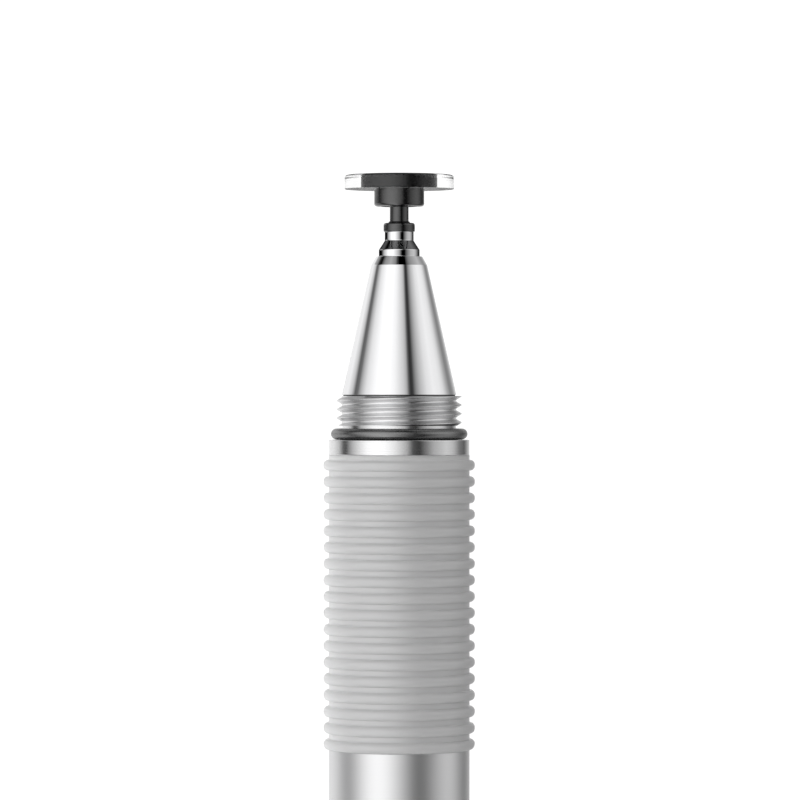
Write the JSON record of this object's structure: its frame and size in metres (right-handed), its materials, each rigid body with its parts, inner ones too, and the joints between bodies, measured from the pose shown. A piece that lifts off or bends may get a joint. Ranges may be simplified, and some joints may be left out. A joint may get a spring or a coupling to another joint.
{
  "type": "stylus pen",
  "caption": "Stylus pen for touchscreens: clear disc on a ball joint, cushioned stem, polished cone, ribbed grip sleeve and a screw cap kept on the tail.",
  "frame": {"origin": "centre of the flat end face of the cap, which is screwed on the tail, where the floor of an upright pen holder meets it", "axes": "+Z along the pen's axis from the capped tail to the disc tip, +X to the right of the picture, -Y towards its camera"},
  "size_m": [0.0096, 0.0096, 0.1235],
  "materials": {
    "clear_plastic": "clear polished",
    "black_plastic": "satin",
    "polished_metal": "mirror polished",
    "turned_metal": "finely turned",
    "satin_aluminium": "satin anodised",
    "grip_silicone": "soft matt",
    "ring_rubber": "matt",
    "turned_brass": "turned",
    "spring_steel": "drawn",
    "magnet_plating": "nickel plated",
    "white_plastic": "matt",
    "pad_foam": "soft"
  },
  "bodies": {
    "pen": {"nose_cone": "polished_metal", "ferrule": "polished_metal", "nose_bush": "black_plastic", "spring_stop": "turned_brass", "cushion_spring": "spring_steel", "screw_neck": "turned_metal", "front_o_ring": "ring_rubber", "grip_sleeve": "grip_silicone", "barrel": "satin_aluminium", "magnet": "magnet_plating", "magnet_carrier": "white_plastic", "tail_plug": "turned_metal"},
    "tip_cushion": {"plunger": "turned_brass"},
    "stem": {"ball_stem": "black_plastic", "stem_clip": "spring_steel"},
    "disc_tip": {"disc": "clear_plastic", "ball_socket": "black_plastic"},
    "tail_ring": {"tail_o_ring": "ring_rubber"},
    "cap": {"cap_shell": "satin_aluminium", "cap_end": "turned_metal", "cap_pad": "pad_foam"}
  },
  "joints": [
    {"name": "tip_press", "type": "slide", "parent": "pen", "child": "tip_cushion", "axis": [0, 0, -1], "range_m": [0, 0.00035], "stiffness_N_per_m": 580, "springref_m": -0.0009, "deforming": ["cushion_spring"]},
    {"name": "tip_swivel", "type": "hinge", "parent": "tip_cushion", "child": "stem", "pos_m": [0, 0, 0.11643], "axis": [0, 0, 1], "continuous": true},
    {"name": "disc_tilt", "type": "hinge", "parent": "stem", "child": "disc_tip", "pos_m": [0, 0, 0.12225], "axis": [1, 0, 0], "range_deg": [-30, 30]},
    {"name": "cap_turn", "type": "hinge", "parent": "pen", "child": "tail_ring", "pos_m": [0, 0, 0.01937], "axis": [0, 0, -1], "range_deg": [0, 1444]},
    {"name": "cap_travel", "type": "slide", "parent": "tail_ring", "child": "cap", "axis": [0, 0, -1], "range_m": [0, 0.00224]}
  ],
  "couplings": [
    {"joint": "cap_turn", "follows": "cap_travel", "rad_per_m": 11220}
  ]
}
